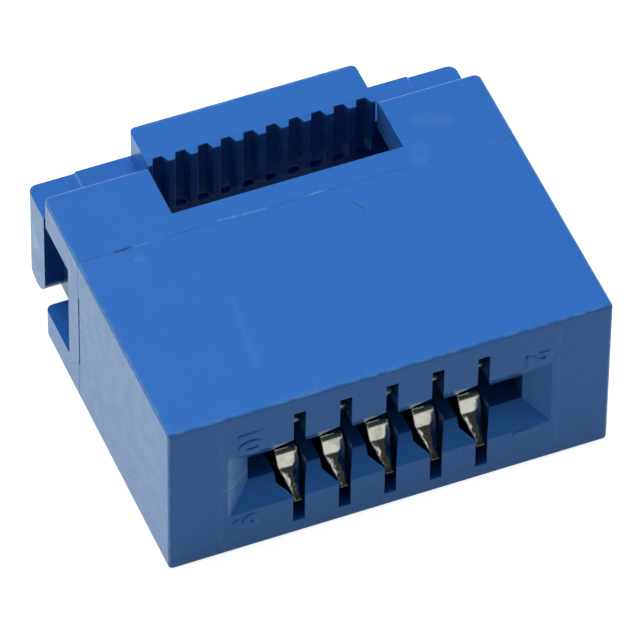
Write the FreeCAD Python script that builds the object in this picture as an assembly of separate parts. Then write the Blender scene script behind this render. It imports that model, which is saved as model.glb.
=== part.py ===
import FreeCAD, Part
import math
import os

from FreeCAD import Vector

# Card edge connector for a ten-wire ribbon cable, cover still open. Millimetres, +Z up.
# X runs along the contact row, Y from the card side to the cable side. Inside the functions
# Y is counted from the front face, and save() moves the origin to the middle of the footprint.

# Contact field
COLUMNS = 5
COLUMN_PITCH = 2.54
WIRES = 2 * COLUMNS
WIRE_PITCH = COLUMN_PITCH / 2

# Body
BODY_WIDTH = 24.5
BODY_HEIGHT = 10.4
FRONT_DEPTH = 12.8
PLATE_THICKNESS = 1.44
RAIL_DEPTH = 3.56
RAIL_HEIGHT = 2.0
EDGE_RADIUS = 0.25
REAR_CORNER_RADIUS = 0.4
FACE_RADIUS = 0.2
SEAM_CHAMFER = 0.02
SEAM_NOTCH_WIDTH = 0.15
SEAM_NOTCH_DEPTH = 0.3
SEAM_NOTCH_HEIGHT = 5.1

# Card slot and its funnel
CARD_SLOT_HEIGHT = 1.72
CARD_SLOT_DEPTH = 8.5
FUNNEL_DEPTH = 0.78
FUNNEL_SIDE = 1.31
FUNNEL_BELOW = 2.4
FUNNEL_ABOVE = 2.1

# Contact slots and cavities
CONTACT_SLOT_WIDTH = 0.66
SLOT_LIP = 0.06
BAY_LEFT = 1.1
BAY_RIGHT = 0.75
FLARE_LEFT = 0.45
FLARE_RIGHT = 0.8
SHOULDER_CLEARANCE = 0.08
CAVITY_BELOW = 4.25
CAVITY_ABOVE = 4.05

# Contacts
METAL = 0.25
CREST_GAP = 1.5
CREST_Y = 2.0
CREST_CORNER = 0.06
CREST_WIDTH = 1.18
BEAM_END_WIDTH = 0.9
TIP_WIDTH = 0.45
LOWER_TIP_Y = 0.15
UPPER_TIP_Y = 0.7
TIP_DROP = 2.1
RAMP_BACK = 0.5
RAMP_DROP = 0.85
BEND_RADIUS = 0.3
KNEE_SETBACK = 5.2
KNEE_DROP = 1.5
ROOT_SETBACK = 2.9
ROOT_DROP = 0.5
SHOULDER_LENGTH = 1.6
SHOULDER_WIDTH = 1.96
FORK_WIDTH = 0.62
FORK_SLOT = 0.2
FORK_LENGTH = 2.56
FORK_SLOT_DEPTH = 1.75
FORK_POINT = 0.45
NECK_BARB_Y = 0.5
NECK_BARB_LENGTH = 0.5
WINDOW_CLEARANCE = 0.05
CREST_CLEARANCE = 0.05

# Cover
CLOSING_TRAVEL = 2.9
COVER_DEPTH = 2.45
COVER_SIDE_CLEARANCE = 0.1
CABLE_MARGIN = 0.12
RIDGE_HEIGHT = 0.45
RIDGE_TIP = 0.38
RIDGE_ROOT = 0.76
BAND_HEIGHT = 3.1
PIERCE_CLEARANCE = 0.05
PIERCE_OVERRUN = 0.3
BLOCK_RADIUS = 0.35
WING_CLEARANCE = 0.07
WING_SETBACK = 0.18
WING_RADIUS = 0.5
EAR_WIDTH = 1.12
EAR_DROP = 0.13
EAR_TOP_WIDTH = 2.6

# Latch legs
LEG_THICKNESS = 1.5
LEG_TIP_THICKNESS = 0.9
BARB = 0.25
BARB_LENGTH = 1.2
LEG_CLEARANCE = 0.05
LEG_FLEX_ROOM = 0.35
BARB_CLEARANCE = 0.1
LATCH_OVERRUN = 0.4

# Worked out from the sizes above
HALF_WIDTH = BODY_WIDTH / 2
CARD_Z = BODY_HEIGHT / 2
CARD_SLOT_WIDTH = (COLUMNS + 1) * COLUMN_PITCH
PLATE_FRONT = FRONT_DEPTH
PLATE_REAR = FRONT_DEPTH + PLATE_THICKNESS
BODY_REAR = PLATE_REAR + RAIL_DEPTH
TOTAL_DEPTH = BODY_REAR + CLOSING_TRAVEL
COVER_FACE = TOTAL_DEPTH - COVER_DEPTH
OPENING_HALF = WIRES * WIRE_PITCH / 2 + CABLE_MARGIN
BLOCK_HALF = OPENING_HALF - COVER_SIDE_CLEARANCE
ROOT_GAP = CREST_GAP / 2 + ROOT_DROP
FORK_TIP = PLATE_REAR + FORK_LENGTH
WINDOW_LOW = RAIL_HEIGHT
WINDOW_HIGH = BODY_HEIGHT - RAIL_HEIGHT
WING_LOW = WINDOW_LOW + WING_CLEARANCE
WING_HIGH = WINDOW_HIGH - WING_CLEARANCE
WING_HALF = HALF_WIDTH - WING_SETBACK
LEG_OUTER = WING_HALF - EAR_WIDTH
LEG_INNER = LEG_OUTER - LEG_THICKNESS
CAVITY_SHAPE = (CARD_Z - CAVITY_BELOW, CARD_Z + CAVITY_ABOVE)
COLUMN_X = [(n - (COLUMNS - 1) / 2) * COLUMN_PITCH for n in range(COLUMNS)]
WIRE_X = [(n - (WIRES - 1) / 2) * WIRE_PITCH for n in range(WIRES)]


def box(x, y, z):
    """Block between the two limits given for each axis."""
    corner = Vector(min(x), min(y), min(z))
    return Part.makeBox(max(x) - min(x), max(y) - min(y), max(z) - min(z), corner)


def prism(points, direction):
    """Polygon through the points, extruded along the direction."""
    loop = Part.makePolygon(points + points[:1])
    return Part.Face(loop).extrude(direction)


def around(centre, width):
    """Limits of a width that is centred on a place."""
    return (centre - width / 2, centre + width / 2)


def mirrored(shape):
    """The shape and its mirror image at the other end of the row."""
    return [shape, shape.mirror(Vector(0, 0, 0), Vector(1, 0, 0))]


def edges_where(shape, test):
    """Edges whose end points all pass the test."""
    return [edge for edge in shape.Edges if all(test(vertex.Point) for vertex in edge.Vertexes)]


def near(a, b):
    return abs(a - b) < 1e-6


def save(shape, node):
    placed = shape.removeSplitter()
    placed.translate(Vector(0, -TOTAL_DEPTH / 2, 0))
    placed.exportStep("parts/" + node + ".step")


# Front housing

def funnel():
    """Lead-in that narrows from the front face to the card slot."""
    wide = CARD_SLOT_WIDTH / 2 + FUNNEL_SIDE
    narrow = CARD_SLOT_WIDTH / 2
    outer = rectangle(0, wide, CARD_Z - FUNNEL_BELOW, CARD_Z + FUNNEL_ABOVE)
    low, high = around(CARD_Z, CARD_SLOT_HEIGHT)
    inner = rectangle(FUNNEL_DEPTH, narrow, low, high)
    return Part.makeLoft([outer, inner], True, True)


def rectangle(y, half_width, low, high):
    """Closed upright rectangle at a depth."""
    corners = [
        Vector(-half_width, y, low),
        Vector(half_width, y, low),
        Vector(half_width, y, high),
        Vector(-half_width, y, high),
    ]
    return Part.makePolygon(corners + corners[:1])


def contact_cavity(x):
    """Everything that one column of two contacts needs in the front housing."""
    low, high = CAVITY_SHAPE
    web_low, web_high = around(CARD_Z, CREST_GAP - 2 * CREST_CLEARANCE)
    left, right = around(x, CONTACT_SLOT_WIDTH)
    bay_left = x - BAY_LEFT
    bay_right = x + BAY_RIGHT
    outline = [
        (left, 0),
        (left, SLOT_LIP),
        (bay_left, SLOT_LIP + FLARE_LEFT),
        (bay_left, CARD_SLOT_DEPTH),
        (bay_right, CARD_SLOT_DEPTH),
        (bay_right, SLOT_LIP + FLARE_RIGHT),
        (right, SLOT_LIP),
        (right, 0),
    ]
    bay = prism([Vector(px, py, low) for px, py in outline], Vector(0, 0, high - low))
    rear = around(x, SHOULDER_WIDTH + 2 * SHOULDER_CLEARANCE)
    lower = box(rear, (CARD_SLOT_DEPTH, FRONT_DEPTH), (low, web_low))
    upper = box(rear, (CARD_SLOT_DEPTH, FRONT_DEPTH), (web_high, high))
    return bay.fuse([lower, upper])


def latch_cavity():
    """Room in front of the plate for the tip of the latch leg at the +X end."""
    inner = LEG_INNER - BARB - BARB_CLEARANCE
    outer = LEG_OUTER + LEG_FLEX_ROOM
    reach = BARB_LENGTH + CLOSING_TRAVEL + LATCH_OVERRUN
    return box((inner, outer), (FRONT_DEPTH - reach, FRONT_DEPTH), (WINDOW_LOW, WINDOW_HIGH))


def seam_notch():
    """Shallow notch at the seam on the +X end."""
    return box(
        (HALF_WIDTH - SEAM_NOTCH_DEPTH, HALF_WIDTH),
        (FRONT_DEPTH - SEAM_NOTCH_WIDTH, FRONT_DEPTH),
        around(CARD_Z, SEAM_NOTCH_HEIGHT),
    )


def on_outline(point):
    """True on the four long edges of the body's outline."""
    return near(abs(point.x), HALF_WIDTH) and (near(point.z, 0) or near(point.z, BODY_HEIGHT))


def outlined(front, rear):
    """Slice of the body between two depths, with its four long edges rounded."""
    body = box((-HALF_WIDTH, HALF_WIDTH), (front, rear), (0, BODY_HEIGHT))
    long_edges = [edge for edge in edges_where(body, on_outline) if near(edge.Length, rear - front)]
    return body.makeFillet(EDGE_RADIUS, long_edges)


def front_housing():
    body = outlined(0, FRONT_DEPTH)
    face_edges = edges_where(body, lambda point: near(point.y, 0))
    body = body.makeFillet(FACE_RADIUS, face_edges)
    seam_edges = edges_where(body, lambda point: near(point.y, FRONT_DEPTH))
    body = body.makeChamfer(SEAM_CHAMFER, seam_edges)
    card_slot = box(
        around(0, CARD_SLOT_WIDTH),
        (0, CARD_SLOT_DEPTH),
        around(CARD_Z, CARD_SLOT_HEIGHT),
    )
    cuts = [funnel(), card_slot]
    cuts += [contact_cavity(x) for x in COLUMN_X]
    cuts += mirrored(latch_cavity())
    cuts += mirrored(seam_notch())
    return body.cut(cuts)


# Rear housing

def rail(low, high):
    """One rail beside the cable gap at the +X end."""
    block = box((OPENING_HALF, HALF_WIDTH), (PLATE_REAR, BODY_REAR), (low, high))
    corner = edges_where(block, lambda point: near(point.x, HALF_WIDTH) and near(point.y, BODY_REAR))
    block = block.makeFillet(REAR_CORNER_RADIUS, corner)
    return block.makeFillet(EDGE_RADIUS, edges_where(block, on_outline))


def fork_window(x, z):
    """Opening in the plate that a contact's neck passes through."""
    return box(
        around(x, FORK_WIDTH + 2 * WINDOW_CLEARANCE),
        (PLATE_FRONT, PLATE_REAR),
        around(z, METAL + 2 * WINDOW_CLEARANCE),
    )


def latch_window():
    """Opening in the plate for the latch leg at the +X end."""
    return box(
        (LEG_INNER - LEG_CLEARANCE, LEG_OUTER + LEG_FLEX_ROOM),
        (PLATE_FRONT, PLATE_REAR),
        (WINDOW_LOW, WINDOW_HIGH),
    )


def rear_housing():
    plate = outlined(PLATE_FRONT, PLATE_REAR)
    seam_edges = edges_where(plate, lambda point: near(point.y, PLATE_FRONT))
    plate = plate.makeChamfer(SEAM_CHAMFER, seam_edges)
    rails = mirrored(rail(0, RAIL_HEIGHT))
    rails += mirrored(rail(BODY_HEIGHT - RAIL_HEIGHT, BODY_HEIGHT))
    body = plate.fuse(rails)
    cuts = []
    for x in COLUMN_X:
        for side in (-1, 1):
            cuts.append(fork_window(x - side * WIRE_PITCH / 2, CARD_Z + side * ROOT_GAP))
    cuts += mirrored(latch_window())
    return body.cut(cuts)


# Cover

def ridge(x, low, high):
    """Ridge between two wires, wider at its root."""
    points = [
        Vector(x - RIDGE_ROOT / 2, COVER_FACE, low),
        Vector(x - RIDGE_TIP / 2, COVER_FACE - RIDGE_HEIGHT, low),
        Vector(x + RIDGE_TIP / 2, COVER_FACE - RIDGE_HEIGHT, low),
        Vector(x + RIDGE_ROOT / 2, COVER_FACE, low),
    ]
    return prism(points, Vector(0, 0, high - low))


def rim(low, high):
    """Half ridge that closes the last groove at the +X side."""
    x = WIRES * WIRE_PITCH / 2
    points = [
        Vector(x - RIDGE_ROOT / 2, COVER_FACE, low),
        Vector(x - RIDGE_TIP / 2, COVER_FACE - RIDGE_HEIGHT, low),
        Vector(BLOCK_HALF, COVER_FACE - RIDGE_HEIGHT, low),
        Vector(BLOCK_HALF, COVER_FACE, low),
    ]
    return prism(points, Vector(0, 0, high - low))


def pierce_pocket(x, z):
    """Oval pocket that the points of a fork enter when the cover is closed."""
    width = FORK_WIDTH + 2 * PIERCE_CLEARANCE
    height = METAL + 4 * PIERCE_CLEARANCE
    reach = CLOSING_TRAVEL - (COVER_FACE - FORK_TIP) + PIERCE_OVERRUN
    middle = box(around(x, width - height), (COVER_FACE, COVER_FACE + reach), around(z, height))
    ends = []
    for end in around(x, width - height):
        ends.append(Part.makeCylinder(height / 2, reach, Vector(end, COVER_FACE, z), Vector(0, 1, 0)))
    return middle.fuse(ends)


def block():
    """Middle of the cover that fills the cable gap."""
    body = box(
        (-BLOCK_HALF, BLOCK_HALF),
        (COVER_FACE, TOTAL_DEPTH),
        (0, BODY_HEIGHT),
    )
    back_edges = edges_where(body, lambda point: near(point.y, TOTAL_DEPTH))
    back_edges = [edge for edge in back_edges if near(edge.Length, BODY_HEIGHT)]
    return body.makeFillet(BLOCK_RADIUS, back_edges)


def wing_bar():
    """Bar across the back of the cover, with a lowered end above each ear."""
    bar = box((-WING_HALF, WING_HALF), (COVER_FACE, TOTAL_DEPTH), (WING_LOW, WING_HIGH))
    corners = edges_where(bar, lambda point: near(point.y, TOTAL_DEPTH))
    corners = [edge for edge in corners if near(edge.Length, WING_HIGH - WING_LOW)]
    bar = bar.makeFillet(WING_RADIUS, corners)
    step = WING_HALF - EAR_TOP_WIDTH
    lowered = prism(
        [
            Vector(step - EAR_DROP, COVER_FACE, WING_HIGH),
            Vector(step, COVER_FACE, WING_HIGH - EAR_DROP),
            Vector(HALF_WIDTH, COVER_FACE, WING_HIGH - EAR_DROP),
            Vector(HALF_WIDTH, COVER_FACE, WING_HIGH),
        ],
        Vector(0, COVER_DEPTH, 0),
    )
    return bar.cut(mirrored(lowered) + mirrored(ear_corner()))


def ear_corner():
    """What a round lower end takes off the ear at the +X end."""
    radius = COVER_DEPTH / 2
    square = box(
        (LEG_OUTER, HALF_WIDTH),
        (COVER_FACE, TOTAL_DEPTH),
        (WING_LOW, WING_LOW + radius),
    )
    centre = Vector(LEG_OUTER, COVER_FACE + radius, WING_LOW + radius)
    return square.cut(Part.makeCylinder(radius, HALF_WIDTH, centre, Vector(1, 0, 0)))


def latch_leg():
    """Leg at the +X end. Its front barb holds the cover open, and the rear one holds it closed."""
    first = PLATE_FRONT
    second = PLATE_FRONT + CLOSING_TRAVEL
    tip = PLATE_FRONT - BARB_LENGTH
    catch = LEG_INNER - BARB
    outline = [
        (LEG_INNER, COVER_FACE),
        (LEG_INNER, second),
        (catch, second),
        (LEG_INNER, second - BARB_LENGTH),
        (LEG_INNER, first),
        (catch, first),
        (catch, first - BARB),
        (LEG_INNER + BARB, tip),
        (LEG_INNER + LEG_TIP_THICKNESS, tip),
        (LEG_OUTER, PLATE_REAR),
        (LEG_OUTER, COVER_FACE),
    ]
    points = [Vector(x, y, WING_LOW) for x, y in outline]
    return prism(points, Vector(0, 0, WING_HIGH - EAR_DROP - WING_LOW))


def cover():
    zones = [
        (0, CARD_Z - BAND_HEIGHT / 2),
        (CARD_Z + BAND_HEIGHT / 2, BODY_HEIGHT),
    ]
    pieces = [wing_bar()] + mirrored(latch_leg())
    for low, high in zones:
        pieces += [ridge((n + 1 - WIRES / 2) * WIRE_PITCH, low, high) for n in range(WIRES - 1)]
        pieces += mirrored(rim(low, high))
    body = block().fuse(pieces)
    pockets = []
    for x in WIRE_X:
        for side in (-1, 1):
            pockets.append(pierce_pocket(x, CARD_Z + side * ROOT_GAP))
    return body.cut(pockets)


# Contacts

def direction(start, end):
    length = math.hypot(end[0] - start[0], end[1] - start[1])
    return ((end[0] - start[0]) / length, (end[1] - start[1]) / length)


def shifted(point, normal, distance):
    return (point[0] + normal[0] * distance, point[1] + normal[1] * distance)


def bend(before, corner, after, radius):
    """Start, middle and end of a round bend at a corner, each with its normal."""
    d_in = direction(before, corner)
    d_out = direction(corner, after)
    turn = math.atan2(d_in[0] * d_out[1] - d_in[1] * d_out[0], d_in[0] * d_out[0] + d_in[1] * d_out[1])
    reach = radius * math.tan(abs(turn) / 2)
    n_in = (-d_in[1], d_in[0])
    n_out = (-d_out[1], d_out[0])
    n_mid = direction((0, 0), (n_in[0] + n_out[0], n_in[1] + n_out[1]))
    start = shifted(corner, d_in, -reach)
    end = shifted(corner, d_out, reach)
    side = math.copysign(radius, turn)
    centre = shifted(start, n_in, side)
    middle = shifted(centre, n_mid, -side)
    return [(start, n_in), (middle, n_mid), (end, n_out)]


def strip_side(path, offset, radius, x):
    """Edges of one side of a bent strip, as lines and arcs in the YZ plane."""
    first = direction(path[0], path[1])
    last = direction(path[-2], path[-1])
    here = shifted(path[0], (-first[1], first[0]), offset)
    edges = []
    for before, corner, after in zip(path, path[1:], path[2:]):
        stations = bend(before, corner, after, radius)
        start, middle, end = [shifted(point, normal, offset) for point, normal in stations]
        edges.append(Part.makeLine(Vector(x, *here), Vector(x, *start)))
        edges.append(Part.Arc(Vector(x, *start), Vector(x, *middle), Vector(x, *end)).toShape())
        here = end
    finish = shifted(path[-1], (-last[1], last[0]), offset)
    edges.append(Part.makeLine(Vector(x, *here), Vector(x, *finish)))
    return edges


def bent_strip(path, x, width):
    """Sheet that follows a path in the YZ plane with round bends."""
    top = strip_side(path, METAL / 2, BEND_RADIUS, x)
    bottom = strip_side(path, -METAL / 2, BEND_RADIUS, x)
    ends = [
        Part.makeLine(top[0].Vertexes[0].Point, bottom[0].Vertexes[0].Point),
        Part.makeLine(top[-1].Vertexes[-1].Point, bottom[-1].Vertexes[-1].Point),
    ]
    outline = Part.Wire(Part.__sortEdges__(top + bottom + ends))
    return Part.Face(outline).extrude(Vector(width, 0, 0))


def contact_path(tip_y):
    """Middle of the metal from the tip to the fork, drawn for the lower row."""
    crest = CARD_Z - CREST_GAP / 2 - METAL / 2 + CREST_CORNER
    root = CARD_Z - ROOT_GAP
    return [
        (tip_y, crest - TIP_DROP),
        (CREST_Y - RAMP_BACK, crest - RAMP_DROP),
        (CREST_Y, crest),
        (PLATE_FRONT - KNEE_SETBACK, crest - KNEE_DROP),
        (PLATE_FRONT - ROOT_SETBACK, root),
        (FORK_TIP, root),
    ]


def contact_plan(x, wire_side, tip_y):
    """Outline of the sheet seen from above, from the tip to the points of the fork."""
    wire = x + wire_side * WIRE_PITCH / 2
    fork = FORK_WIDTH / 2
    slit = FORK_SLOT / 2
    point = (fork + slit) / 2
    barb = fork + WINDOW_CLEARANCE
    barb_y = PLATE_FRONT + NECK_BARB_Y
    shoulder_y = PLATE_FRONT - SHOULDER_LENGTH
    spring = [
        (TIP_WIDTH / 2, tip_y - METAL),
        (TIP_WIDTH / 2, tip_y + METAL),
        (CREST_WIDTH / 2, CREST_Y - RAMP_BACK),
        (CREST_WIDTH / 2, CREST_Y + METAL),
        (BEAM_END_WIDTH / 2, shoulder_y),
        (SHOULDER_WIDTH / 2, shoulder_y),
        (SHOULDER_WIDTH / 2, PLATE_FRONT),
    ]
    half_fork = [
        (fork, PLATE_FRONT),
        (fork, barb_y),
        (barb, barb_y + NECK_BARB_LENGTH),
        (fork, barb_y + NECK_BARB_LENGTH),
        (fork, FORK_TIP - FORK_POINT),
        (point, FORK_TIP),
        (slit, FORK_TIP - FORK_POINT),
        (slit, FORK_TIP - FORK_SLOT_DEPTH),
    ]
    outline = [(x - half, y) for half, y in spring]
    outline += [(wire - half, y) for half, y in half_fork]
    outline += [(wire + half, y) for half, y in half_fork[::-1]]
    outline += [(x + half, y) for half, y in spring[::-1]]
    return prism([Vector(px, py, 0) for px, py in outline], Vector(0, 0, CARD_Z))


def contact(x, wire_side, tip_y):
    """One stamped contact, drawn for the lower row."""
    width = SHOULDER_WIDTH + WIRE_PITCH
    sheet = bent_strip(contact_path(tip_y), x - width / 2, width)
    return sheet.common(contact_plan(x, wire_side, tip_y))


def lower_contact(x):
    return contact(x, 1, LOWER_TIP_Y)


def upper_contact(x):
    return contact(x, -1, UPPER_TIP_Y).mirror(Vector(0, 0, CARD_Z), Vector(0, 0, 1))


save(front_housing(), "front_housing")
save(rear_housing(), "rear_housing")
save(cover(), "cover")
for number, column in enumerate(COLUMN_X, start=1):
    save(lower_contact(column), "contact_lower_" + str(number))
    save(upper_contact(column), "contact_upper_" + str(number))
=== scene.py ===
import math

import bpy
from mathutils import Matrix, Vector

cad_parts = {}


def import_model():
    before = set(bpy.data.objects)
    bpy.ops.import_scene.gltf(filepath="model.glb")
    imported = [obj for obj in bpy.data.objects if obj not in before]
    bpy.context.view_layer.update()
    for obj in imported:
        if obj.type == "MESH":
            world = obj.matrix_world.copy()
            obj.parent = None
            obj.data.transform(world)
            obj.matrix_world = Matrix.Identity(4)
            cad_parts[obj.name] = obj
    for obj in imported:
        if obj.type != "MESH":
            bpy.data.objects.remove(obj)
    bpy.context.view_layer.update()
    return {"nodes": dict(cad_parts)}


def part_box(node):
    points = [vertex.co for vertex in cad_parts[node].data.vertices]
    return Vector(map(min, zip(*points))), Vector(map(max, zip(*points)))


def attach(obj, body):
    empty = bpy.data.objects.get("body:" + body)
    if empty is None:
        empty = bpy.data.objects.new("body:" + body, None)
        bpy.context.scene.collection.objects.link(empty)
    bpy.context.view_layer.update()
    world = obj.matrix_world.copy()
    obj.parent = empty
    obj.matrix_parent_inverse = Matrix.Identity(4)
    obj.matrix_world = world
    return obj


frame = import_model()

MM = 0.001

# The camera, from a fit of the contact pitch and the body's corners to the photograph
CAMERA_AZIMUTH = math.radians(22.70)
CAMERA_ELEVATION = math.radians(47.75)
CAMERA_ROLL = math.radians(0.78)
CAMERA_DISTANCE = 432.4 * MM
CAMERA_AIM = Vector((-0.10, -1.55, 5.0)) * MM
CAMERA_OFFSET = (-0.25 * MM, 0.14 * MM)
CAMERA_CLIP = (0.01, 10.0)
FOCAL_PIXELS = 8326.7
IMAGE_PIXELS = 640
SENSOR = 36.0

# Colours as linear values
WHITE = (1.0, 1.0, 1.0, 1.0)
BLACK = (0.0, 0.0, 0.0, 1.0)
BLUE = (0.024, 0.138, 0.503, 1.0)
BLUE_PALE = (0.060, 0.220, 0.600, 1.0)
BLUE_DEEP = (0.014, 0.100, 0.430, 1.0)
# Colour of wear, and of the painted highlight on the funnel's edge
BLUE_WEAR_AND_HIGHLIGHT = (0.150, 0.350, 0.660, 1.0)
# Colour of dark marks, and of the painted shade in the insides and on the comb
BLUE_DARK_MARK_AND_SHADE = (0.006, 0.020, 0.070, 1.0)
BLUE_REFLECTION = (0.15, 0.50, 0.90, 1.0)
SHEEN = (0.35, 1.00, 0.35, 1.0)
SCUFF = (0.060, 0.380, 0.640, 1.0)
TIN = (0.72, 0.73, 0.64, 1.0)
TIN_DULL = (0.42, 0.40, 0.34, 1.0)
# Painted shade on the lower contacts' tips
TIN_PAINTED_SHADE = (0.09, 0.06, 0.04, 1.0)

FRONT_LOW, FRONT_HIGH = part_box("front_housing")
REAR_LOW, REAR_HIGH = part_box("rear_housing")
COVER_LOW, COVER_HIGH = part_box("cover")


class Nodes:
    """A node tree, with short calls for the nodes used here."""

    def __init__(self, tree):
        self.tree = tree

    def add(self, kind, inputs=None, **settings):
        node = self.tree.nodes.new(kind)
        for name, value in settings.items():
            setattr(node, name, value)
        for name, value in (inputs or {}).items():
            self.feed(node.inputs[name], value)
        return node

    def feed(self, socket, value):
        if isinstance(value, bpy.types.NodeSocket):
            self.tree.links.new(value, socket)
        else:
            socket.default_value = value

    def parts(self, vector):
        """X, Y and Z of a vector."""
        return self.add("ShaderNodeSeparateXYZ", {"Vector": vector}).outputs

    def math(self, operation, *values):
        node = self.add("ShaderNodeMath", operation=operation)
        for number, value in enumerate(values):
            self.feed(node.inputs[number], value)
        return node.outputs[0]

    def times(self, *values):
        result = values[0]
        for value in values[1:]:
            result = self.math("MULTIPLY", result, value)
        return result

    def mix(self, factor, first, second, kind="RGBA"):
        inputs = {"Factor": factor, "A": first, "B": second}
        return self.add("ShaderNodeMix", inputs, data_type=kind).outputs["Result"]

    def ramp(self, value, low, high):
        """Straight rise from zero to one between two limits."""
        inputs = {"Value": value, "From Min": low, "From Max": high}
        return self.add("ShaderNodeMapRange", inputs).outputs["Result"]


class Graph(Nodes):
    """Node tree of one material on the Principled shader. Places are those of the object, in metres."""

    def __init__(self, name):
        self.material = bpy.data.materials.new(name)
        self.material.use_nodes = True
        super().__init__(self.material.node_tree)
        self.shader = self.tree.nodes["Principled BSDF"]
        self.place = self.add("ShaderNodeTexCoord").outputs["Object"]
        self.x, self.y, self.z = self.parts(self.place)

    def set(self, name, value):
        self.feed(self.shader.inputs[name], value)

    def noise(self, size, detail, vector=None, roughness=0.5):
        """Noise whose features are about this size in millimetres."""
        inputs = {
            "Vector": vector or self.place,
            "Scale": 1 / (size * MM),
            "Detail": detail,
            "Roughness": roughness,
        }
        return self.add("ShaderNodeTexNoise", inputs).outputs["Fac"]

    def remap(self, value, low, high, to_low=0.0, to_high=1.0):
        """Smooth step of a value between two limits."""
        inputs = {
            "Value": value,
            "From Min": low,
            "From Max": high,
            "To Min": to_low,
            "To Max": to_high,
        }
        node = self.add("ShaderNodeMapRange", inputs, interpolation_type="SMOOTHSTEP")
        return node.outputs["Result"]

    def patches(self, size, detail, low, high, to_low=0.0, to_high=1.0):
        """Noise of a size in millimetres, cut to patches between two of its levels."""
        return self.remap(self.noise(size, detail), low, high, to_low, to_high)

    def step(self, value, start, end, to_low=0.0, to_high=1.0):
        """Smooth step between two places in millimetres."""
        return self.remap(value, start * MM, end * MM, to_low, to_high)

    def band(self, value, centre, half, soft):
        """One inside a band about a centre and zero outside it, with sizes in millimetres."""
        away = self.math("ABSOLUTE", self.math("SUBTRACT", value, centre * MM))
        return self.step(away, half, half + soft, 1.0, 0.0)

    def vector(self, operation, *values):
        node = self.add("ShaderNodeVectorMath", operation=operation)
        for number, value in enumerate(values):
            self.feed(node.inputs[number], value)
        return node

    def away_from(self, start, end):
        """Distance from a straight line between two points."""
        span = end - start
        arm = self.vector("SUBTRACT", self.place, start).outputs["Vector"]
        share = self.vector("DOT_PRODUCT", arm, span / span.length_squared).outputs["Value"]
        share = self.math("MINIMUM", self.math("MAXIMUM", share, 0.0), 1.0)
        along = self.vector("SCALE", span)
        self.feed(along.inputs["Scale"], share)
        gap = self.vector("SUBTRACT", arm, along.outputs["Vector"]).outputs["Vector"]
        return self.vector("LENGTH", gap).outputs["Value"]

    def stroke(self, points, half, soft):
        """One along a line through the points, fading beyond its half width in millimetres."""
        away = [self.away_from(start, end) for start, end in zip(points, points[1:])]
        nearest = away[0]
        for other in away[1:]:
            nearest = self.math("MINIMUM", nearest, other)
        return self.step(nearest, half, half + soft, 1.0, 0.0)

    def edge(self, low, high):
        """Distance from a point on a box to the nearest edge of the box."""
        gaps = []
        for value, near, far in zip((self.x, self.y, self.z), low, high):
            to_near = self.math("SUBTRACT", value, near)
            to_far = self.math("SUBTRACT", far, value)
            gaps.append(self.math("MINIMUM", to_near, to_far))
        lesser = self.math("MINIMUM", gaps[0], gaps[1])
        greater = self.math("MAXIMUM", gaps[0], gaps[1])
        return self.math("MAXIMUM", lesser, self.math("MINIMUM", greater, gaps[2]))

    def rounded(self, radius):
        """Normal that turns softly over the edges, by a radius in millimetres."""
        return self.add("ShaderNodeBevel", {"Radius": radius * MM}, samples=4).outputs["Normal"]

    def bump(self, height, depth, strength, below):
        """Normal with a height added to the one below it. The depth is in millimetres."""
        inputs = {"Height": height, "Distance": depth * MM, "Strength": strength, "Normal": below}
        return self.add("ShaderNodeBump", inputs).outputs["Normal"]


# Faces of the plastic, in millimetres. The comb stands on the cover's face.
TOP = REAR_HIGH.z / MM
FACE = FRONT_LOW.y / MM
SEAM = FRONT_HIGH.y / MM
EAR = COVER_LOW.x / MM
COVER_FACE = 7.90


def on_top(*places):
    return [Vector((x, y, TOP)) * MM for x, y in places]


def on_front(*places):
    return [Vector((x, FACE, z)) * MM for x, z in places]


def at(*places):
    return [Vector(place) * MM for place in places]


# Marks of handling, and a painted highlight on the funnel's edge, in millimetres.
# Strength, half width and soft rim come before the points.
PALE_MARKS_AND_HIGHLIGHT = [
    (0.45, 0.02, 0.05, on_top((-9.3, SEAM), (-7.5, SEAM))),
    (0.75, 0.03, 0.05, on_top((-4.41, SEAM + 0.06), (-1.82, SEAM))),
    (0.60, 0.03, 0.05, on_top((0.36, SEAM + 0.05), (1.56, SEAM + 0.05))),
    (0.30, 0.02, 0.05, on_top((6.3, SEAM), (11.2, SEAM))),
    (0.30, 0.15, 0.20, on_top((-9.2, 1.5), (-9.0, 1.45))),
    (0.10, 0.03, 0.30, on_top((-5.8, -2.9), (-6.0, -5.0), (-6.3, -7.6))),
    (0.13, 0.10, 0.60, on_top((6.9, 3.0), (7.3, 3.5))),
    (0.12, 0.10, 0.60, on_top((8.0, 5.4), (9.2, 4.9))),
    (1.00, 0.03, 0.05, at((-7.74, -9.64, 5.15), (-8.17, -9.90, 5.03), (-8.75, -10.24, 4.87))),
    (0.80, 0.03, 0.05, on_front((-8.79, 4.90), (-9.35, 4.97))),
    (0.30, 0.02, 0.05, on_front((-9.37, 0.5), (-9.37, 9.9))),
    (0.30, 0.02, 0.05, on_front((9.30, 0.3), (9.30, 9.9))),
    # Painted highlight along the left edge of the funnel
    (0.90, 0.04, 0.06, on_front((-8.96, 2.9), (-8.96, 7.2))),
]
DARK_MARKS = [
    (0.65, 0.03, 0.08, on_top((-10.14, SEAM), (-9.8, SEAM - 0.03), (-9.3, SEAM + 0.04))),
    (0.50, 0.02, 0.10, on_top((2.61, 1.10), (2.88, 0.60))),
]
COVER_STEP = (0.60, 0.03, 0.06, at((-9.45, 8.4, 8.3), (-9.45, 10.2, 8.3)))
EAR_SCUFF = (0.90, 0.20, 0.50, at((EAR, 9.30, 4.6), (EAR, 9.40, 5.8)))
GOUGE_DEPTH = 0.05
GOUGE_STRENGTH = 0.6

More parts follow.
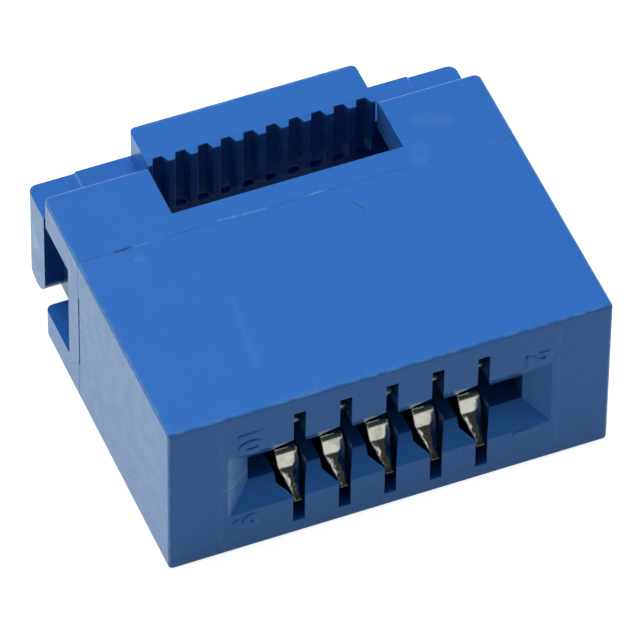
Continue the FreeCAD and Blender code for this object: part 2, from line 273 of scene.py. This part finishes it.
# Patches of noise: size in millimetres, detail, level where they start and level where they are full
MARK_PATCHES = (0.35, 4.0, 0.40, 0.54)
MARK_LEAST = 0.20
SEAM_PATCHES = (1.3, 3.0, 0.40, 0.55)
SCUFF_PATCHES = (0.35, 3.0, 0.40, 0.52)
CLOUDS = (2.6, 3.0, 0.32, 0.68)
PALE_SPECKS = (0.09, 2.0, 0.60, 0.74)
DARK_SPECKS = (0.13, 2.0, 0.36, 0.25)
WEAR_PATCHES = (0.5, 4.0, 0.44, 0.60)
WEAR_LEAST = 0.30
GLOSS_PATCHES = (1.1, 4.0, 0.3, 0.7)

# Strength and place of these patches
SEAM_HALF = 0.03
SEAM_SOFT = 0.03
SEAM_WEAR = 0.10
CLOUD_WEIGHT = 0.12
PALE_SPECK_WEIGHT = 0.24
DARK_SPECK_WEIGHT = 0.30
WEAR_WIDTH = (0.17, 0.05)
WEAR_WEIGHT = 0.65
SPECK_ROUGHNESS = 0.06

# Surface of the plastic
PLASTIC_ROUGHNESS = (0.25, 0.30)
PLASTIC_IOR = 1.5
SHEEN_WEIGHT = 0.08
SHEEN_ROUGHNESS = 0.4

# Relief in the plastic's normals: size and detail of the noise, and depth in millimetres
GRAIN = (0.16, 3.0)
GRAIN_NOISE_ROUGHNESS = 0.6
GRAIN_DEPTH = 0.02
GRAIN_STRENGTH = 0.35
DENTS = (0.22, 3.0)
DENT_DEPTH = 0.10
DENT_STRENGTH = 0.45
PLASTIC_EDGE = 0.05

# Painted shade on insides the photograph shows darker: slot and cavities behind the face, cover's comb
INSIDE_DEPTH = (0.3, 1.2)
INSIDE_HALF_HEIGHT = 4.4
INSIDE_HALF_WIDTH = 8.8
INSIDE_SOFT = 0.1
INSIDE_PAINTED_SHADE = 0.55
COMB_REACH = (0.10, 0.02)
COMB_TOP = (0.1, -0.3)
COMB_PAINTED_SHADE = 0.60


def body_marks(g, colour, normal):
    """Rubbed seam, scratches, lines the mould leaves, and a painted highlight on the funnel's edge."""
    breaks = g.patches(*MARK_PATCHES, MARK_LEAST, 1.0)
    seam = g.times(g.band(g.y, SEAM, SEAM_HALF, SEAM_SOFT), g.patches(*SEAM_PATCHES))
    colour = g.mix(g.times(seam, SEAM_WEAR), colour, BLUE_WEAR_AND_HIGHLIGHT)
    # The pale marks include a painted highlight along the funnel's left edge
    for strength, half, soft, points in PALE_MARKS_AND_HIGHLIGHT:
        line = g.times(g.stroke(points, half, soft), breaks)
        colour = g.mix(g.times(line, strength), colour, BLUE_WEAR_AND_HIGHLIGHT)
    for strength, half, soft, points in DARK_MARKS:
        line = g.stroke(points, half, soft)
        colour = g.mix(g.times(line, strength), colour, BLUE_DARK_MARK_AND_SHADE)
        normal = g.bump(g.math("SUBTRACT", 1.0, line), GOUGE_DEPTH, GOUGE_STRENGTH, normal)
    return colour, normal


def front_marks(g, colour, normal):
    """Marks of the body, and painted shade on the insides of the card slot and the contact cavities."""
    start, end = INSIDE_DEPTH
    depth = g.step(g.y, FACE + start, FACE + end)
    height = g.band(g.z, TOP / 2, INSIDE_HALF_HEIGHT, INSIDE_SOFT)
    across = g.band(g.x, 0.0, INSIDE_HALF_WIDTH, INSIDE_SOFT)
    # Painted shade: the insides behind the face are darkened in the colour
    colour = g.mix(g.times(depth, height, across, INSIDE_PAINTED_SHADE), colour, BLUE_DARK_MARK_AND_SHADE)
    return body_marks(g, colour, normal)


def cover_marks(g, colour, normal):
    """Painted shade on the comb, light scuff on the left ear and a rubbed step beside it."""
    # Painted shade: the comb below the top of the cover is darkened in the colour
    comb = g.step(g.y, COVER_FACE + COMB_REACH[0], COVER_FACE + COMB_REACH[1])
    below = g.step(g.z, TOP + COMB_TOP[0], TOP + COMB_TOP[1])
    colour = g.mix(g.times(comb, below, COMB_PAINTED_SHADE), colour, BLUE_DARK_MARK_AND_SHADE)
    strength, half, soft, points = EAR_SCUFF
    rubbed = g.times(g.stroke(points, half, soft), g.patches(*SCUFF_PATCHES))
    colour = g.mix(g.times(rubbed, strength), colour, SCUFF)
    strength, half, soft, points = COVER_STEP
    colour = g.mix(g.times(g.stroke(points, half, soft), strength), colour, BLUE_WEAR_AND_HIGHLIGHT)
    return colour, normal


def blue_plastic(name, low, high, marks=None):
    """Moulded plastic with fine grain, rubbed along the edges of a box. marks adds more."""
    g = Graph(name)
    colour = g.mix(g.times(g.patches(*CLOUDS), CLOUD_WEIGHT), BLUE, BLUE_DEEP)
    speck = g.patches(*PALE_SPECKS)
    colour = g.mix(g.times(speck, PALE_SPECK_WEIGHT), colour, BLUE_PALE)
    colour = g.mix(g.times(g.patches(*DARK_SPECKS), DARK_SPECK_WEIGHT), colour, BLUE_DEEP)
    worn = g.patches(*WEAR_PATCHES, WEAR_LEAST, 1.0)
    rubbed = g.times(g.step(g.edge(low, high), *WEAR_WIDTH), worn)
    colour = g.mix(g.times(rubbed, WEAR_WEIGHT), colour, BLUE_WEAR_AND_HIGHLIGHT)
    gloss = g.patches(*GLOSS_PATCHES, *PLASTIC_ROUGHNESS)
    grain = g.noise(*GRAIN, roughness=GRAIN_NOISE_ROUGHNESS)
    normal = g.bump(grain, GRAIN_DEPTH, GRAIN_STRENGTH, g.rounded(PLASTIC_EDGE))
    normal = g.bump(g.noise(*DENTS), DENT_DEPTH, g.times(rubbed, DENT_STRENGTH), normal)
    if marks is not None:
        colour, normal = marks(g, colour, normal)
    g.set("Base Color", colour)
    g.set("Roughness", g.math("ADD", gloss, g.times(speck, SPECK_ROUGHNESS)))
    g.set("Normal", normal)
    g.set("IOR", PLASTIC_IOR)
    g.set("Specular Tint", BLUE_REFLECTION)
    g.set("Sheen Weight", SHEEN_WEIGHT)
    g.set("Sheen Roughness", SHEEN_ROUGHNESS)
    g.set("Sheen Tint", SHEEN)
    return g.material


# Tin plate, with sizes and heights in millimetres
CARD_Z = 5.20
COLUMN_PITCH = 2.54
STAINS = (0.7, 3.0, 0.50, 0.72)
STAIN_WEIGHT = 0.45
STAIN_ROUGHNESS = 0.10
# Heights below which the lower tips darken to brown, as painted shade
PAINTED_SHADE_FROM = (2.75, 2.35)
PAINTED_SHADE_WEIGHT = 0.85
ROLLING = (0.06, 2.0)
ROLLING_STRETCH = (1.0, 0.15, 0.15)
ROLLING_LEVELS = (0.3, 0.7)
ROLLING_ROUGHNESS = (0.10, 0.15)
ROLLING_DEPTH = 0.001
ROLLING_STRENGTH = 0.3
ROUGHER_FROM = (7.2, 7.6)
ROUGHER_BY = 0.25
UNEVEN_FROM = (1.4, 2.0)
UNEVEN_LEAST = 0.06
CURL_HALF = 0.60
CURL_DEPTH = 0.25
WAVES = (0.5, 2.0)
WAVE_DEPTH = 0.10
TIN_EDGE = 0.12


def tin_plate(name):
    """Bright tin on sheet metal, curled and wavy away from the card.

    The lower contacts' tips are darkened to brown as painted shade. The upper contacts are
    rougher above a height, which widens the highlights on their tips.
    """
    g = Graph(name)
    stretch = {"Vector": g.place, "Scale": ROLLING_STRETCH}
    lines = g.noise(*ROLLING, vector=g.add("ShaderNodeMapping", stretch).outputs[0])
    stain = g.patches(*STAINS)
    colour = g.mix(g.times(stain, STAIN_WEIGHT), TIN, TIN_DULL)
    # Painted shade: the lower contacts' tips turn brown towards the bottom
    painted_shade = g.times(g.step(g.z, *PAINTED_SHADE_FROM), PAINTED_SHADE_WEIGHT)
    roughness = g.remap(lines, *ROLLING_LEVELS, *ROLLING_ROUGHNESS)
    roughness = g.math("ADD", roughness, g.times(stain, STAIN_ROUGHNESS))
    roughness = g.math("ADD", roughness, g.step(g.z, *ROUGHER_FROM, 0.0, ROUGHER_BY))
    from_card = g.math("ABSOLUTE", g.math("SUBTRACT", g.z, CARD_Z * MM))
    uneven = g.step(from_card, *UNEVEN_FROM, UNEVEN_LEAST, 1.0)
    column = g.math("ROUND", g.math("DIVIDE", g.x, COLUMN_PITCH * MM))
    aside = g.math("SUBTRACT", g.x, g.times(column, COLUMN_PITCH * MM))
    curl = g.math("POWER", g.math("DIVIDE", g.math("ABSOLUTE", aside), CURL_HALF * MM), 2.0)
    normal = g.bump(g.math("SUBTRACT", 1.0, curl), CURL_DEPTH, uneven, g.rounded(TIN_EDGE))
    normal = g.bump(g.noise(*WAVES), WAVE_DEPTH, uneven, normal)
    g.set("Base Color", g.mix(painted_shade, colour, TIN_PAINTED_SHADE))
    g.set("Metallic", 1.0)
    g.set("Roughness", roughness)
    g.set("Normal", g.bump(lines, ROLLING_DEPTH, ROLLING_STRENGTH, normal))
    return g.material


def assign(node, material):
    obj = frame["nodes"][node]
    obj.data.materials.clear()
    obj.data.materials.append(material)


# The box of each housing goes on past the seam, so that its edges there aren't rubbed
PAST_SEAM = Vector((0.0, 1.0, 0.0)) * MM


def dress():
    assign("front_housing", blue_plastic("front_plastic", FRONT_LOW, FRONT_HIGH + PAST_SEAM, front_marks))
    assign("rear_housing", blue_plastic("rear_plastic", REAR_LOW - PAST_SEAM, REAR_HIGH, body_marks))
    assign("cover", blue_plastic("cover_plastic", COVER_LOW, COVER_HIGH, cover_marks))
    metal = tin_plate("contact_metal")
    for node in frame["nodes"]:
        if node.startswith("contact"):
            assign(node, metal)


# Moulded numbers that count the contacts, with X and Z of their middles. Each reads downwards.
NUMBERS = {
    "10": (-7.80, 8.17),
    "9": (-8.07, 2.05),
    "2": (8.08, 7.90),
    "1": (7.50, 2.55),
}
NUMBER_HEIGHT = 1.25
NUMBER_RAISE = 0.01
NUMBER_ROUNDING = 0.05
NUMBER_SWELL = 0.06
DIGIT_SHARE = 0.7


def moulded_number(text, x, z):
    """Raised text. The font's digits are about DIGIT_SHARE of its size."""
    curve = bpy.data.curves.new("number_" + text, "FONT")
    curve.body = text
    curve.size = NUMBER_HEIGHT / DIGIT_SHARE * MM
    curve.extrude = NUMBER_RAISE * MM
    curve.bevel_depth = NUMBER_ROUNDING * MM
    curve.bevel_resolution = 2
    curve.offset = NUMBER_SWELL * MM
    curve.align_x = "CENTER"
    curve.align_y = "CENTER"
    obj = bpy.data.objects.new("number_" + text, curve)
    bpy.context.collection.objects.link(obj)
    turn = Matrix.Rotation(math.radians(90), 4, "Y") @ Matrix.Rotation(math.radians(90), 4, "X")
    spot = Matrix.Translation(Vector((x * MM, FRONT_LOW.y, z * MM)))
    obj.matrix_world = spot @ turn
    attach(obj, "root")
    return obj


def numbers():
    plastic = blue_plastic("number_plastic", FRONT_LOW, FRONT_HIGH)
    for text, (x, z) in NUMBERS.items():
        moulded_number(text, x, z).data.materials.append(plastic)


# Floor. The camera sees it white, and reflections see it pale, dimmer before the object.
FLOOR_SIZE = 3.0
FLOOR_GAP = 0.02 * MM
FLOOR_GREY = 0.50
FLOOR_UNEVEN = 0.01
FLOOR_PATCHES = (9.0, 4.0, 0.2, 0.8)
FLOOR_ROUGHNESS = 0.9
FLOOR_SEEN = 0.84
FLOOR_DIMMER = (-60.0, 0.0)
FLOOR_MIRRORED = (0.30, 0.92)
PAPER_MIRRORED = (0.90, 1.00, 0.95, 1.0)


def floor():
    half = FLOOR_SIZE / 2
    mesh = bpy.data.meshes.new("floor")
    corners = [(-half, -half, 0), (half, -half, 0), (half, half, 0), (-half, half, 0)]
    mesh.from_pydata(corners, [], [(0, 1, 2, 3)])
    obj = bpy.data.objects.new("floor", mesh)
    bpy.context.collection.objects.link(obj)
    obj.location.z = -FLOOR_GAP
    g = Graph("floor_paper")
    grey = g.patches(*FLOOR_PATCHES, FLOOR_GREY - FLOOR_UNEVEN, FLOOR_GREY + FLOOR_UNEVEN)
    path = g.add("ShaderNodeLightPath").outputs
    seen = g.times(path["Is Camera Ray"], FLOOR_SEEN)
    mirrored = g.times(path["Is Glossy Ray"], g.step(g.y, *FLOOR_DIMMER, *FLOOR_MIRRORED))
    g.set("Base Color", g.mix(grey, BLACK, WHITE))
    g.set("Roughness", FLOOR_ROUGHNESS)
    g.set("Specular IOR Level", 0.0)
    g.set("Emission Color", g.mix(path["Is Glossy Ray"], WHITE, PAPER_MIRRORED))
    g.set("Emission Strength", g.math("ADD", seen, mirrored))
    mesh.materials.append(g.material)


# World. Each pair is where the dim room starts and where it is full, along -Y, Z and -X of a direction.
WORLD_GREY = (0.8, 0.8, 0.8, 1.0)
WORLD_LEVEL = 0.17
WORLD_MIRRORED = 1.0
ROOM_MIRRORED = 0.05
ROOM_FRONT = (0.15, 0.45)
ROOM_ABOVE = (0.20, 0.38)
ROOM_LEFT = (0.45, 0.20)


def world():
    """Even light. Reflections see a pale studio with a dim room at the front."""
    studio = bpy.data.worlds.new("studio")
    bpy.context.scene.world = studio
    studio.use_nodes = True
    g = Nodes(studio.node_tree)
    g.tree.nodes.clear()
    x, y, z = g.parts(g.add("ShaderNodeTexCoord").outputs["Generated"])
    front = g.ramp(y, *[-limit for limit in ROOM_FRONT])
    above = g.ramp(z, *ROOM_ABOVE)
    beside = g.ramp(x, *[-limit for limit in ROOM_LEFT])
    room = g.mix(g.times(front, above, beside), WORLD_MIRRORED, ROOM_MIRRORED, "FLOAT")
    path = g.add("ShaderNodeLightPath").outputs
    level = g.mix(path["Is Glossy Ray"], WORLD_LEVEL, room, "FLOAT")
    strength = g.math("MAXIMUM", path["Is Camera Ray"], level)
    background = g.add("ShaderNodeBackground", {"Color": WORLD_GREY, "Strength": strength})
    g.add("ShaderNodeOutputWorld", {"Surface": background.outputs["Background"]})


# Name, place and side in metres, and power in watts
SOFTBOXES = [
    ("overhead_softbox", (-0.05, 0.12, 0.50), 0.40, 2.1),
    ("left_softbox", (-0.38, 0.20, 0.15), 0.25, 0.45),
    ("right_softbox", (0.42, -0.05, 0.16), 0.20, 0.7),
]


def lights():
    """Square area lamps that face the object."""
    for name, place, side, power in SOFTBOXES:
        lamp = bpy.data.lights.new(name, "AREA")
        lamp.size = side
        lamp.energy = power
        obj = bpy.data.objects.new(name, lamp)
        bpy.context.collection.objects.link(obj)
        obj.location = place
        obj.rotation_euler = (-Vector(place)).to_track_quat("-Z", "Y").to_euler()


def camera():
    forward = Vector((
        math.sin(CAMERA_AZIMUTH) * math.cos(CAMERA_ELEVATION),
        math.cos(CAMERA_AZIMUTH) * math.cos(CAMERA_ELEVATION),
        -math.sin(CAMERA_ELEVATION),
    ))
    level = forward.cross(Vector((0, 0, 1))).normalized()
    raised = level.cross(forward)
    right = math.cos(CAMERA_ROLL) * level + math.sin(CAMERA_ROLL) * raised
    up = -math.sin(CAMERA_ROLL) * level + math.cos(CAMERA_ROLL) * raised
    eye = CAMERA_AIM - CAMERA_DISTANCE * forward + CAMERA_OFFSET[0] * right + CAMERA_OFFSET[1] * up
    data = bpy.data.cameras.new("camera")
    data.sensor_width = SENSOR
    data.lens = FOCAL_PIXELS / IMAGE_PIXELS * SENSOR
    data.clip_start, data.clip_end = CAMERA_CLIP
    obj = bpy.data.objects.new("camera", data)
    bpy.context.collection.objects.link(obj)
    turn = Matrix((right, up, -forward)).transposed()
    obj.matrix_world = Matrix.Translation(eye) @ turn.to_4x4()
    bpy.context.scene.camera = obj


camera()
floor()
world()
lights()
dress()
numbers()
bpy.context.scene.view_settings.view_transform = "Standard"
